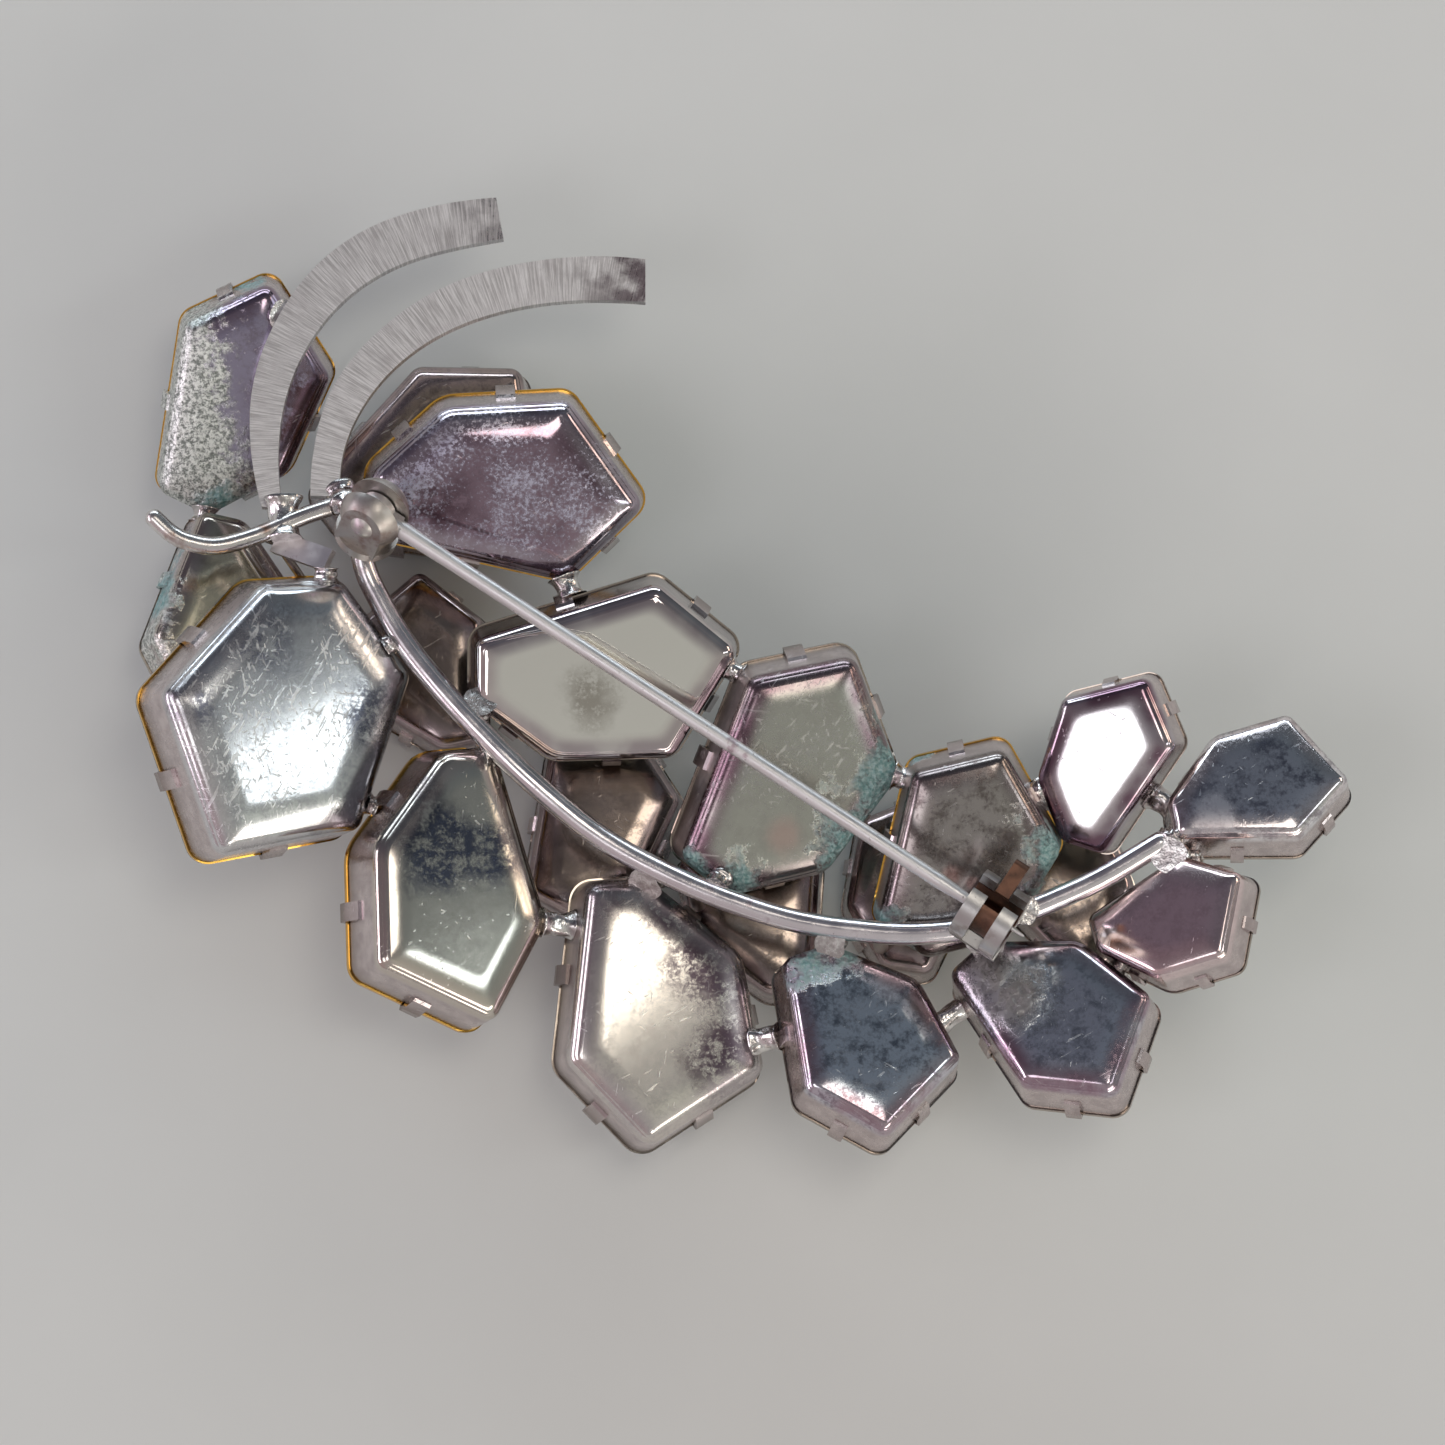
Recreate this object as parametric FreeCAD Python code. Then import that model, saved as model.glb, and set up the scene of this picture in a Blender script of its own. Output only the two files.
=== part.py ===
import FreeCAD, Part
import math
import os

from FreeCAD import Placement, Rotation, Vector

# Leaf-spray brooch lying face down: the stones' tables rest on z = 0 and the pin is on top.
# Millimetres. +X runs along the spray towards its tip, +Y towards the tendrils, +Z out of the back.
# Layout positions below are measured from a bench datum. LAYOUT_ORIGIN is that datum's offset from
# the part's own origin, which is the middle of the outline on the surface it lies on.

LAYOUT_ORIGIN = (1.17, 3.52, 2.1)

# ---- settings and stones (sizes of the largest leaf; smaller ones scale from it) ----
CUP_DEPTH = 4.4          # back plate to rim
CROWN_HEIGHT = 1.5       # stone above the rim
BELT_HEIGHT = 0.45       # upright edge of the stone that shows past the rim
BELT_OVERHANG = 0.12     # how far that edge stands out over the rim
RIM_FLARE = 0.45         # how far the wall leans out over its depth
WALL = 0.38              # sheet thickness of a cup
BACK_ROUND = 0.9         # rounded edge of the back plate
STONE_GAP = 0.05         # stone to cup wall
TABLE_INSET = 2.1        # girdle to table edge, in plan
CULET_INSET = 2.0        # girdle to the bottom of the pavilion, in plan
GIRDLE_SHARE = 0.82      # depth at which the pavilion steepens, as a share of the cup's
CULET_CLEARANCE = 0.35   # pavilion to the inside of the back plate
CROWN_BREAK = 0.72       # height of the crown's facet break, as a share of the crown's
CROWN_BREAK_INSET = 0.65     # its inset, as a share of the table's
TABLE_EDGE_INSET = 1.2       # inset of the table's edge, as a share of the table's
PRONG_WIDTH = 1.3
PRONG_STAND = 0.48       # prong proud of the wall
# Levels of a prong's profile, as shares of the cup's depth.
PRONG_HEEL = 0.55
PRONG_KNEE = 0.62
PRONG_KNEE_STAND = 0.20  # millimetres proud of the wall at the knee
PRONG_SHOULDER = 0.94
PRONG_ROOT = 0.90
# Bent-over end of a prong, in millimetres from the rim: in over the stone, and past the rim.
PRONG_END_OUTER = (0.42, 1.20)
PRONG_END_INNER = (0.52, 0.93)
PRONG_BEND_INNER = 0.50
CUT_PAST = 1.05          # tools that hollow a cup run this much past its rim
MIN_CORNER_RADIUS = 0.15

# Corner points of the three stone shapes, anticlockwise from behind, and the radius of each corner.
LEAF = [
    (3.0, -8.4, 1.0), (6.8, 2.7, 1.1), (2.8, 9.2, 1.0),
    (-5.7, 6.0, 1.0), (-5.9, -1.7, 2.6), (-0.9, -7.9, 2.0),
]
SHIELD = [
    (2.5, -8.2, 1.0), (7.1, 3.8, 1.1), (2.8, 9.5, 1.0),
    (-4.9, 5.5, 1.0), (-5.6, -2.6, 2.2), (-1.8, -8.0, 1.6),
]
KITE = [
    (-2.1, 7.7, 1.4), (-9.2, 0.4, 1.0), (-5.3, -10.0, 1.0),
    (4.7, -8.2, 1.1), (8.5, 2.0, 1.2), (3.5, 8.1, 1.4),
]
SHAPES = {"leaf": LEAF, "shield": SHIELD, "kite": KITE}

# Back layer: shape, mirrored, plan x, y, height z of the back plate's middle, heading, tilt,
# direction the back leans towards (degrees), length and width against the full-size shape.
BACK_LEAVES = [
    ("kite", False, -27.75, 0.85, 16.8, 2, 25, -15, 1.00, 0.97),
    ("leaf", True, -17.2, -10.2, 14.7, 181, 25, -2, 1.03, 0.95),
    ("leaf", False, -4.0, -18.0, 12.4, 193, 10, -20, 1.00, 1.00),
    ("shield", False, -14.9, 15.7, 14.6, 278, 18, -80, 1.00, 0.98),
    ("shield", True, -8.3, 2.5, 14.4, 267, 17, -82, 0.97, 0.94),
    ("shield", True, 4.5, -4.6, 14.4, 319, 20, -70, 0.97, 0.97),
    ("leaf", False, 9.3, -20.0, 14.3, 208, 15, 56, 0.77, 0.82),
    ("leaf", False, 21.15, -18.6, 15.0, 230, 17, 128, 0.80, 0.78),
    ("shield", True, 15.8, -9.7, 14.6, 324, 21, -91, 0.80, 0.90),
    ("shield", False, 24.3, -3.2, 15.6, 345, 21, -139, 0.67, 0.66),
    ("leaf", False, 34.2, -4.3, 16.2, 288, 14, 103, 0.68, 0.67),
    ("leaf", True, 28.45, -13.5, 16.6, 280, 28, 162, 0.62, 0.62),
    ("shield", True, -32.1, 21.5, 10.6, 331, 22, -84, 0.89, 0.84),
    ("leaf", False, -32.4, 8.1, 10.2, 178, 15, 5, 0.80, 0.76),
]

# Front layer: shape, mirrored, plan x, y, heading, length and width. These lie flat on z = 0.
FRONT_LEAVES = [
    ("leaf", True, -19.6, 18.9, 300, 0.92, 0.90),
    ("leaf", False, -19.9, 5.0, 20, 0.70, 0.70),
    ("shield", True, -8.2, -5.6, 330, 0.77, 0.77),
    ("leaf", False, 2.2, -11.2, 15, 0.72, 0.72),
    ("shield", False, 12.4, -9.4, 355, 0.72, 0.72),
    ("leaf", True, 23.3, -10.0, 25, 0.66, 0.66),
]

# ---- wires and strips ----
BEND_SHARE = 0.45        # how much of a run each bend of a wire may use
STEM_RADIUS = 0.76
STEM_PATH = [
    (-23.9, 12.2, 14.9), (-23.4, 9.8, 14.4), (-21.1, 5.5, 14.3), (-17.8, 1.4, 14.5),
    (-13.2, -3.4, 14.4), (-7.9, -7.8, 13.7), (-1.5, -11.1, 13.8), (5.0, -13.3, 13.8),
    (11.5, -14.0, 14.0), (15.5, -13.8, 14.3), (19.5, -12.7, 14.7), (24.5, -10.6, 15.2),
    (28.4, -8.25, 15.75),
]
CURL_RADIUS = 0.6
CURL_PATH = [
    (-37.2, 13.3, 15.6), (-35.8, 12.0, 15.4), (-33.4, 11.4, 15.1), (-30.6, 12.2, 14.9),
    (-27.5, 13.6, 14.9), (-24.9, 14.4, 15.1),
]
STRUT_START = (-29.2, 12.0, 13.6)
STRUT_END = (-25.6, 10.4, 15.3)
STRUT_WIDTH = 1.5
STRUT_THICKNESS = 0.6
BRACE_RADIUS = 0.28
BRACES = [
    ((-31.4, 11.6, 14.5), (-29.8, 9.3, 12.4)),
    ((-28.8, 11.3, 14.3), (-27.4, 9.5, 12.2)),
]

STRIP_THICKNESS = 0.9
STRIP_BOTTOM = 13.2
TENDRILS = {
    "tendril_outer": [
        [(-30.3, 14.4), (-31.1, 18.9), (-30.9, 22.9), (-29.5, 26.9), (-27.3, 30.2), (-24.0, 32.9),
         (-20.0, 34.5), (-15.0, 35.3)],
        [(-28.9, 14.2), (-29.2, 18.9), (-28.5, 22.7), (-27.1, 25.7), (-24.8, 28.5), (-21.4, 30.7),
         (-17.6, 31.9), (-14.5, 32.5)],
    ],
    "tendril_inner": [
        [(-27.1, 15.1), (-26.8, 18.9), (-25.8, 22.2), (-23.9, 25.0), (-21.2, 27.5), (-17.8, 29.5),
         (-13.4, 30.8), (-8.6, 31.3), (-5.1, 31.1)],
        [(-25.1, 15.1), (-24.8, 18.6), (-23.2, 21.9), (-20.8, 24.5), (-17.8, 26.4), (-14.0, 27.7),
         (-9.6, 28.3), (-5.1, 28.2)],
    ],
}

# ---- pin, joint and catch ----
JOINT_AT = (-22.6, 13.0, 19.0)       # rivet's middle
CATCH_AT = (17.2, -13.4, 19.0)       # catch's middle, on the pin's axis
PIN_LEAN = 30.0                      # the pin lifts this far from straight up, towards +Y
PIN_RADIUS = 0.5
PIN_ROOT_RADIUS = 0.6
PIN_EYE_RADIUS = 1.25
PIN_EYE_THICKNESS = 1.1
PIN_NECK = (1.4, 1.1)                # length and height of the flat between eye and root
PIN_NECK_FROM = 0.5                  # rivet to its near end
PIN_ROOT_FROM = 1.5
PIN_SHANK_FROM = 6.0
PIN_POINT_LENGTH = 6.4
PIN_TIP_RADIUS = 0.08
PIN_TIP_PAST_CATCH = 2.6
RIVET_RADIUS = 0.45
RIVET_CLEARANCE = 0.05
CHEEK_GAP = 1.32
CHEEK_THICKNESS = 1.05
BALL_RADIUS = 2.25
BALL_FLAT_DROP = 1.9                 # rivet to the flat under the ball
SHANK_LENGTH = 3.0                   # block under the ball, along the pin
SHANK_DROP = 2.2
GAP_DROP = 1.75                      # rivet to the floor of the gap between the cheeks
JOINT_FOOT_RADIUS = 2.1
JOINT_FOOT_THICKNESS = 0.6
JOINT_FOOT_DROP = 2.6                # rivet to the underside of the foot
JOINT_POST_RADIUS = 1.1
JOINT_POST_HEIGHT = 2.288
JOINT_POST_SINK = 0.2                # how far the post runs up into the foot
RIVET_HEAD_RADIUS = 1.1
RIVET_HEAD_SINK = 0.75               # centre of the head's dome below the cheek's face
HOUSING_RADIUS = 2.35
HOUSING_LENGTH = 3.4
ROTOR_RADIUS = 1.5
ROTOR_BORE = 0.78
ROTOR_CLEARANCE = 0.05
MOUTH_WIDTH = 1.3
SLOT_WIDTH = 1.2
LEVER_REACH = 3.5
LEVER_THICKNESS = 0.9
LEVER_REST = -85.0                   # degrees round the pin from straight up
SLOT_FROM = -112.0
SLOT_TO = 97.0
SLOT_REACH = 4.0
LEVER_ROOT = 1.3                     # the lever starts this far from the pin's axis
LEVER_SIDE_CLEARANCE = 0.1
CATCH_FOOT_DROP = 3.5
CATCH_FOOT = (0.5, 4.0, 3.4)         # thickness, width, length along the pin
CATCH_NECK = (2.4, 2.2, 2.6)         # height, width, length along the pin
CATCH_NECK_RISE = 0.3                # underside of the foot to the bottom of the neck
CATCH_NECK_BITE = 0.3                # how far the neck runs up into the tube's wall

BEAD_RADIUS = 0.6
POST_RADIUS = 0.5
BAR_BITE = 0.35                      # how far a bead or a post reaches into each piece it joins


# ---- outlines ----
def offset_corners(corners, out):
    """Move every side of an anticlockwise outline outwards by `out` and keep its corner radii."""
    count = len(corners)
    lines = []
    for i in range(count):
        x0, y0 = corners[i][:2]
        x1, y1 = corners[(i + 1) % count][:2]
        length = math.hypot(x1 - x0, y1 - y0)
        ux, uy = (x1 - x0) / length, (y1 - y0) / length
        lines.append((x0 + uy * out, y0 - ux * out, ux, uy))
    moved = []
    for i in range(count):
        ax, ay, ux, uy = lines[i - 1]
        bx, by, vx, vy = lines[i]
        cross = ux * vy - uy * vx
        along = ((bx - ax) * vy - (by - ay) * vx) / cross
        radius = max(MIN_CORNER_RADIUS, corners[i][2] + out)
        moved.append((ax + ux * along, ay + uy * along, radius))
    return moved


def outline_wire(corners, z):
    """Closed wire of straight sides and tangent corner arcs at height z."""
    count = len(corners)
    starts, middles, ends = [], [], []
    for i in range(count):
        x, y, radius = corners[i]
        px, py = corners[i - 1][:2]
        nx, ny = corners[(i + 1) % count][:2]
        a = Vector(px - x, py - y, 0).normalize()
        b = Vector(nx - x, ny - y, 0).normalize()
        half = a.getAngle(b) / 2.0
        reach = radius / math.tan(half)
        corner = Vector(x, y, z)
        centre = corner + (a + b).normalize() * (radius / math.sin(half))
        starts.append(corner + a * reach)
        ends.append(corner + b * reach)
        middles.append(centre + (corner - centre).normalize() * radius)
    edges = []
    for i in range(count):
        edges.append(Part.Arc(starts[i], middles[i], ends[i]).toShape())
        edges.append(Part.LineSegment(ends[i], starts[(i + 1) % count]).toShape())
    return Part.Wire(edges)


def scaled_corners(shape, mirrored, length, width):
    """A stone shape at its own size; a mirrored one is turned over and kept anticlockwise."""
    size = min(length, width)
    side = -1 if mirrored else 1
    corners = [(side * x * width, y * length, radius * size) for x, y, radius in SHAPES[shape]]
    if mirrored:
        corners.reverse()
    return corners


def ruled_solid(sections):
    """Solid through (corners, z) sections, with flat facets between them."""
    wires = [outline_wire(corners, z) for corners, z in sections]
    return Part.makeLoft(wires, True, True)


# ---- a setting and its stone, in the setting's own frame (back plate on z = 0, front towards -Z) ----
def make_cup(corners, depth):
    size = depth / CUP_DEPTH
    flare = RIM_FLARE * size
    shell = ruled_solid([(corners, 0.0), (offset_corners(corners, flare), -depth)])
    back_edges = [edge for edge in shell.Edges if edge.BoundBox.ZMin > -0.01]
    shell = shell.makeFillet(BACK_ROUND * size, back_edges)
    inner_top = offset_corners(corners, flare * WALL / depth - WALL)
    inner_rim = offset_corners(corners, flare * CUT_PAST - WALL)
    hollow = ruled_solid([(inner_top, -WALL), (inner_rim, -depth * CUT_PAST)])
    cup = shell.cut(hollow)
    prongs = [make_prong(corners, side, depth) for side in long_sides(corners)]
    return cup.fuse(prongs).removeSplitter()


def long_sides(corners):
    """Sides long enough to carry a prong: all but the shortest."""
    count = len(corners)
    lengths = []
    for i in range(count):
        x0, y0 = corners[i][:2]
        x1, y1 = corners[(i + 1) % count][:2]
        lengths.append(math.hypot(x1 - x0, y1 - y0))
    shortest = lengths.index(min(lengths))
    return [i for i in range(count) if i != shortest]


def make_prong(corners, side, depth):
    """Tab that stands off the wall at the middle of one side and bends in over the stone."""
    size = depth / CUP_DEPTH
    x0, y0 = corners[side][:2]
    x1, y1 = corners[(side + 1) % len(corners)][:2]
    middle = Vector((x0 + x1) / 2.0, (y0 + y1) / 2.0, 0)
    along = Vector(x1 - x0, y1 - y0, 0).normalize()
    out = Vector(along.y, -along.x, 0)
    flare = RIM_FLARE * size
    rim = flare + PRONG_STAND * size
    belt = flare + BELT_OVERHANG * size + STONE_GAP
    profile = [
        (flare * PRONG_HEEL - WALL / 2.0, -PRONG_HEEL * depth),
        (flare * PRONG_KNEE + PRONG_KNEE_STAND * size, -PRONG_KNEE * depth),
        (rim, -PRONG_SHOULDER * depth),
        (rim, -depth - BELT_HEIGHT * size),
        (-PRONG_END_OUTER[0] * size, -depth - PRONG_END_OUTER[1] * size),
        (-PRONG_END_INNER[0] * size, -depth - PRONG_END_INNER[1] * size),
        (belt, -depth - PRONG_BEND_INNER * size),
        (belt, -depth),
        (flare - WALL / 2.0, -PRONG_ROOT * depth),
    ]
    width = PRONG_WIDTH * size
    points = [middle - along * (width / 2.0) + out * t + Vector(0, 0, z) for t, z in profile]
    points.append(points[0])
    return Part.Face(Part.makePolygon(points)).extrude(along * width)


def make_stone(corners, depth, crown_height):
    """Step-cut stone: pavilion inside the cup, then an upright edge, crown and table past its rim."""
    size = depth / CUP_DEPTH
    flare = RIM_FLARE * size
    inside = -WALL - STONE_GAP
    rim = -depth - STONE_GAP
    culet = offset_corners(corners, inside - CULET_INSET * size)
    girdle_low = offset_corners(corners, flare * GIRDLE_SHARE + inside)
    girdle_high = offset_corners(corners, flare + inside)
    pavilion = ruled_solid([
        (culet, -WALL - CULET_CLEARANCE * size),
        (girdle_low, -GIRDLE_SHARE * depth),
        (girdle_high, rim - BELT_HEIGHT * size / 2.0),
    ])
    belt = offset_corners(corners, flare + BELT_OVERHANG * size)
    crown = offset_corners(corners, flare - TABLE_INSET * size * CROWN_BREAK_INSET)
    table = offset_corners(corners, flare - TABLE_INSET * size * TABLE_EDGE_INSET)
    front = ruled_solid([
        (belt, rim),
        (belt, -depth - BELT_HEIGHT * size),
        (crown, -depth - crown_height * CROWN_BREAK),
        (table, -depth - crown_height),
    ])
    return pavilion.fuse(front)


# ---- placing ----
def leaf_placement(x, y, z, heading, tilt, lean):
    """Turn a leaf to its heading, then tilt it so that its back leans towards `lean`."""
    direction = math.radians(lean)
    tilt_axis = Vector(-math.sin(direction), math.cos(direction), 0)
    rotation = Rotation(tilt_axis, tilt).multiply(Rotation(Vector(0, 0, 1), heading))
    return Placement(on_plan((x, y, z)), rotation)


def on_plan(point):
    """A layout position in the part's own frame."""
    return Vector(*point) - Vector(*LAYOUT_ORIGIN)


def placed(shape, placement):
    moved = shape.copy()
    moved.transformShape(placement.toMatrix(), True)
    return moved


def make_leaf(shape, mirrored, length, width):
    """Cup and stone of one leaf, and their depth from back plate to table."""
    size = min(length, width)
    corners = scaled_corners(shape, mirrored, length, width)
    depth = CUP_DEPTH * size
    crown = CROWN_HEIGHT * size
    return make_cup(corners, depth), make_stone(corners, depth, crown), depth + crown


# ---- wires ----
def rounded_path(points):
    """Straight runs joined by tangent arcs as large as the runs allow."""
    edges = []
    here = points[0]
    for i in range(1, len(points) - 1):
        before = points[i - 1] - points[i]
        after = points[i + 1] - points[i]
        turn = math.pi - before.getAngle(after)
        reach = BEND_SHARE * min(before.Length, after.Length)
        start = points[i] + Vector(before).normalize() * reach
        end = points[i] + Vector(after).normalize() * reach
        radius = reach / math.tan(turn / 2.0)
        inward = (Vector(before).normalize() + Vector(after).normalize()).normalize()
        middle = points[i] + inward * (radius / math.cos(turn / 2.0) - radius)
        edges.append(Part.LineSegment(here, start).toShape())
        edges.append(Part.Arc(start, middle, end).toShape())
        here = end
    edges.append(Part.LineSegment(here, points[-1]).toShape())
    return Part.Wire(edges)


def make_wire(path, radius):
    """Round wire along a path of hand-set points, with ball ends."""
    points = [on_plan(point) for point in path]
    route = rounded_path(points)
    ring = Part.Wire(Part.makeCircle(radius, points[0], points[1] - points[0]))
    body = route.makePipe(Part.Face(ring))
    ends = [Part.makeSphere(radius, points[0]), Part.makeSphere(radius, points[-1])]
    return body.fuse(ends).removeSplitter()


def rod(start, end, radius):
    return Part.makeCylinder(radius, (end - start).Length, start, end - start)


def make_strip(outer, inner):
    """Flat strip cut from sheet, between two smooth edges, with square ends."""
    edges = []
    for side in (outer, inner):
        curve = Part.BSplineCurve()
        curve.interpolate([on_plan((x, y, STRIP_BOTTOM)) for x, y in side])
        edges.append(curve.toShape())
    tip = Part.LineSegment(edges[0].Vertexes[-1].Point, edges[1].Vertexes[-1].Point).toShape()
    root = Part.LineSegment(edges[1].Vertexes[0].Point, edges[0].Vertexes[0].Point).toShape()
    face = Part.Face(Part.Wire(Part.__sortEdges__([edges[0], tip, edges[1], root])))
    return face.extrude(Vector(0, 0, STRIP_THICKNESS))


def make_strut():
    """Short flat strut that slopes down from the curled wire to the large setting."""
    start = on_plan(STRUT_START)
    end = on_plan(STRUT_END)
    run = end - start
    block = Part.makeBox(run.Length, STRUT_WIDTH, STRUT_THICKNESS, Vector(0, -STRUT_WIDTH / 2.0, 0))
    rotation = axes_rotation(run, run.cross(Vector(0, 0, 1)).cross(run))
    return placed(block, Placement(start, rotation))


def axes_rotation(x_axis, up):
    """Rotation whose X runs along x_axis and whose Z is as near to `up` as it can be."""
    x = Vector(x_axis).normalize()
    y = up.cross(x).normalize()
    z = x.cross(y)
    return Rotation(x, y, z, "ZXY")


# ---- pin joint, pin and catch ----
JOINT = on_plan(JOINT_AT)
CATCH = on_plan(CATCH_AT)
PIN_LINE = (CATCH - JOINT).normalize()
SIDEWAYS = Vector(0, 0, 1).cross(PIN_LINE)          # level, square to the pin, towards +Y
LIFT = Vector(0, 0, 1) * math.cos(math.radians(PIN_LEAN)) + SIDEWAYS * math.sin(math.radians(PIN_LEAN))
PIN_FRAME = Placement(JOINT, axes_rotation(PIN_LINE, LIFT))       # X along the pin, Y along the rivet
CATCH_TURN = Rotation(Vector(0, 0, 1), PIN_LINE.cross(Vector(0, 0, 1)), PIN_LINE, "ZXY")
CATCH_FRAME = Placement(CATCH, CATCH_TURN)          # Z along the pin, X straight up
MOUTH_ANGLE = -PIN_LEAN
# Directions in the pin's and the catch's own frames.
ALONG = Vector(1, 0, 0)
ACROSS = Vector(0, 1, 0)
AXIS = Vector(0, 0, 1)


def centred_box(length, width, height, y, z):
    """Box whose middle is on x = 0 and at y, with its floor at z."""
    return Part.makeBox(length, width, height, Vector(-length / 2.0, y - width / 2.0, z))


def make_joint(stem):
    """Ball joint: two cheeks cut from a ball, standing on a foot, drilled for the rivet."""
    width = CHEEK_GAP + 2 * CHEEK_THICKNESS
    side = 2 * BALL_RADIUS
    ball = Part.makeSphere(BALL_RADIUS)
    slab = centred_box(2 * side, width, side, 0, -BALL_FLAT_DROP)
    shank = centred_box(SHANK_LENGTH, width, 2.0, 0, -SHANK_DROP)
    cheeks = ball.common(slab).fuse(shank)
    gap = centred_box(2 * side, CHEEK_GAP, 2 * side, 0, -GAP_DROP)
    foot = Part.makeCylinder(JOINT_FOOT_RADIUS, JOINT_FOOT_THICKNESS, Vector(0, 0, -JOINT_FOOT_DROP))
    hole = Part.makeCylinder(RIVET_RADIUS, 2 * width, Vector(0, -width, 0), ACROSS)
    body = placed(cheeks.cut(gap).fuse(foot).cut(hole), PIN_FRAME)
    post_top = JOINT - LIFT * (JOINT_FOOT_DROP - JOINT_POST_SINK)
    post_bottom = post_top - Vector(0, 0, JOINT_POST_HEIGHT)
    post = Part.makeCylinder(JOINT_POST_RADIUS, JOINT_POST_HEIGHT, post_bottom)
    return body.fuse(post).cut(stem).removeSplitter()


def make_rivet():
    """Rivet through both cheeks, with a low domed head on each side."""
    half = CHEEK_GAP / 2.0 + CHEEK_THICKNESS
    shank = Part.makeCylinder(RIVET_RADIUS, 2 * half, Vector(0, -half, 0), ACROSS)
    size = 2 * RIVET_HEAD_RADIUS
    heads = []
    for side in (-1, 1):
        dome = Part.makeSphere(RIVET_HEAD_RADIUS, Vector(0, side * (half - RIVET_HEAD_SINK), 0))
        outside = centred_box(size, size, size, side * (half + RIVET_HEAD_RADIUS), -RIVET_HEAD_RADIUS)
        heads.append(dome.common(outside))
    return placed(shank.fuse(heads), PIN_FRAME)


def make_pin():
    """Pin stem: flat eye on the rivet, tapered root, round shank and a ground point."""
    half = PIN_EYE_THICKNESS / 2.0
    neck_length, neck_height = PIN_NECK
    root_length = PIN_SHANK_FROM - PIN_ROOT_FROM
    tip = (CATCH - JOINT).Length + PIN_TIP_PAST_CATCH
    point_from = tip - PIN_POINT_LENGTH
    eye = Part.makeCylinder(PIN_EYE_RADIUS, PIN_EYE_THICKNESS, Vector(0, -half, 0), ACROSS)
    neck_corner = Vector(PIN_NECK_FROM, -half, -neck_height / 2.0)
    neck = Part.makeBox(neck_length, PIN_EYE_THICKNESS, neck_height, neck_corner)
    root = Part.makeCone(PIN_ROOT_RADIUS, PIN_RADIUS, root_length, Vector(PIN_ROOT_FROM, 0, 0), ALONG)
    shank_from = Vector(PIN_SHANK_FROM, 0, 0)
    shank = Part.makeCylinder(PIN_RADIUS, point_from - PIN_SHANK_FROM, shank_from, ALONG)
    point = Part.makeCone(PIN_RADIUS, PIN_TIP_RADIUS, PIN_POINT_LENGTH, Vector(point_from, 0, 0), ALONG)
    hole_from = Vector(0, -PIN_EYE_THICKNESS, 0)
    hole = Part.makeCylinder(RIVET_RADIUS + RIVET_CLEARANCE, 2 * PIN_EYE_THICKNESS, hole_from, ACROSS)
    body = eye.fuse([neck, root, shank, point]).cut(hole).removeSplitter()
    return placed(body, PIN_FRAME)


def radial_slot(width, reach, length, angle):
    """Block from the axis outwards, used to open a mouth in a tube."""
    block = Part.makeBox(reach, width, length, Vector(0, -width / 2.0, -length / 2.0))
    block.rotate(Vector(0, 0, 0), AXIS, angle)
    return block


def tube(outer, inner, length):
    """Tube centred on the origin, along Z."""
    start = Vector(0, 0, -length / 2.0)
    return Part.makeCylinder(outer, length, start).cut(Part.makeCylinder(inner, length, start))


def standing_box(sizes, bottom):
    """Box that stands along +X from `bottom`, with the pin's axis in its middle plane."""
    height, width, length = sizes
    return Part.makeBox(height, width, length, Vector(bottom, -width / 2.0, -length / 2.0))


def make_housing():
    """Split tube on a foot, with a mouth along it and a slot part way round for the lever."""
    body = tube(HOUSING_RADIUS, ROTOR_RADIUS + ROTOR_CLEARANCE, HOUSING_LENGTH)
    bore_length = 2 * HOUSING_LENGTH
    neck = standing_box(CATCH_NECK, CATCH_NECK_RISE - CATCH_FOOT_DROP)
    neck_bore = Part.makeCylinder(HOUSING_RADIUS - CATCH_NECK_BITE, bore_length, -AXIS * HOUSING_LENGTH)
    foot = standing_box(CATCH_FOOT, -CATCH_FOOT_DROP)
    body = body.fuse([neck.cut(neck_bore), foot])
    slot_from = Vector(0, 0, -SLOT_WIDTH / 2.0)
    slot = Part.makeCylinder(SLOT_REACH, SLOT_WIDTH, slot_from, AXIS, SLOT_TO - SLOT_FROM)
    slot.rotate(Vector(0, 0, 0), AXIS, SLOT_FROM)
    body = body.cut([slot, radial_slot(MOUTH_WIDTH, SLOT_REACH, bore_length, MOUTH_ANGLE)])
    return placed(body.removeSplitter(), CATCH_FRAME)


def make_rotor():
    """Split inner tube with a thumb lever that stands out through the housing's slot."""
    body = tube(ROTOR_RADIUS, ROTOR_BORE, HOUSING_LENGTH)
    body = body.cut(radial_slot(MOUTH_WIDTH, 2 * ROTOR_RADIUS, 2 * HOUSING_LENGTH, MOUTH_ANGLE))
    length = SLOT_WIDTH - 2 * LEVER_SIDE_CLEARANCE
    half = LEVER_THICKNESS / 2.0
    arm = standing_box((LEVER_REACH - LEVER_ROOT, LEVER_THICKNESS, length), LEVER_ROOT)
    lever = arm.fuse(Part.makeCylinder(half, length, Vector(LEVER_REACH, 0, -length / 2.0)))
    lever.rotate(Vector(0, 0, 0), AXIS, LEVER_REST)
    return placed(body.fuse(lever).removeSplitter(), CATCH_FRAME)


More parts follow.
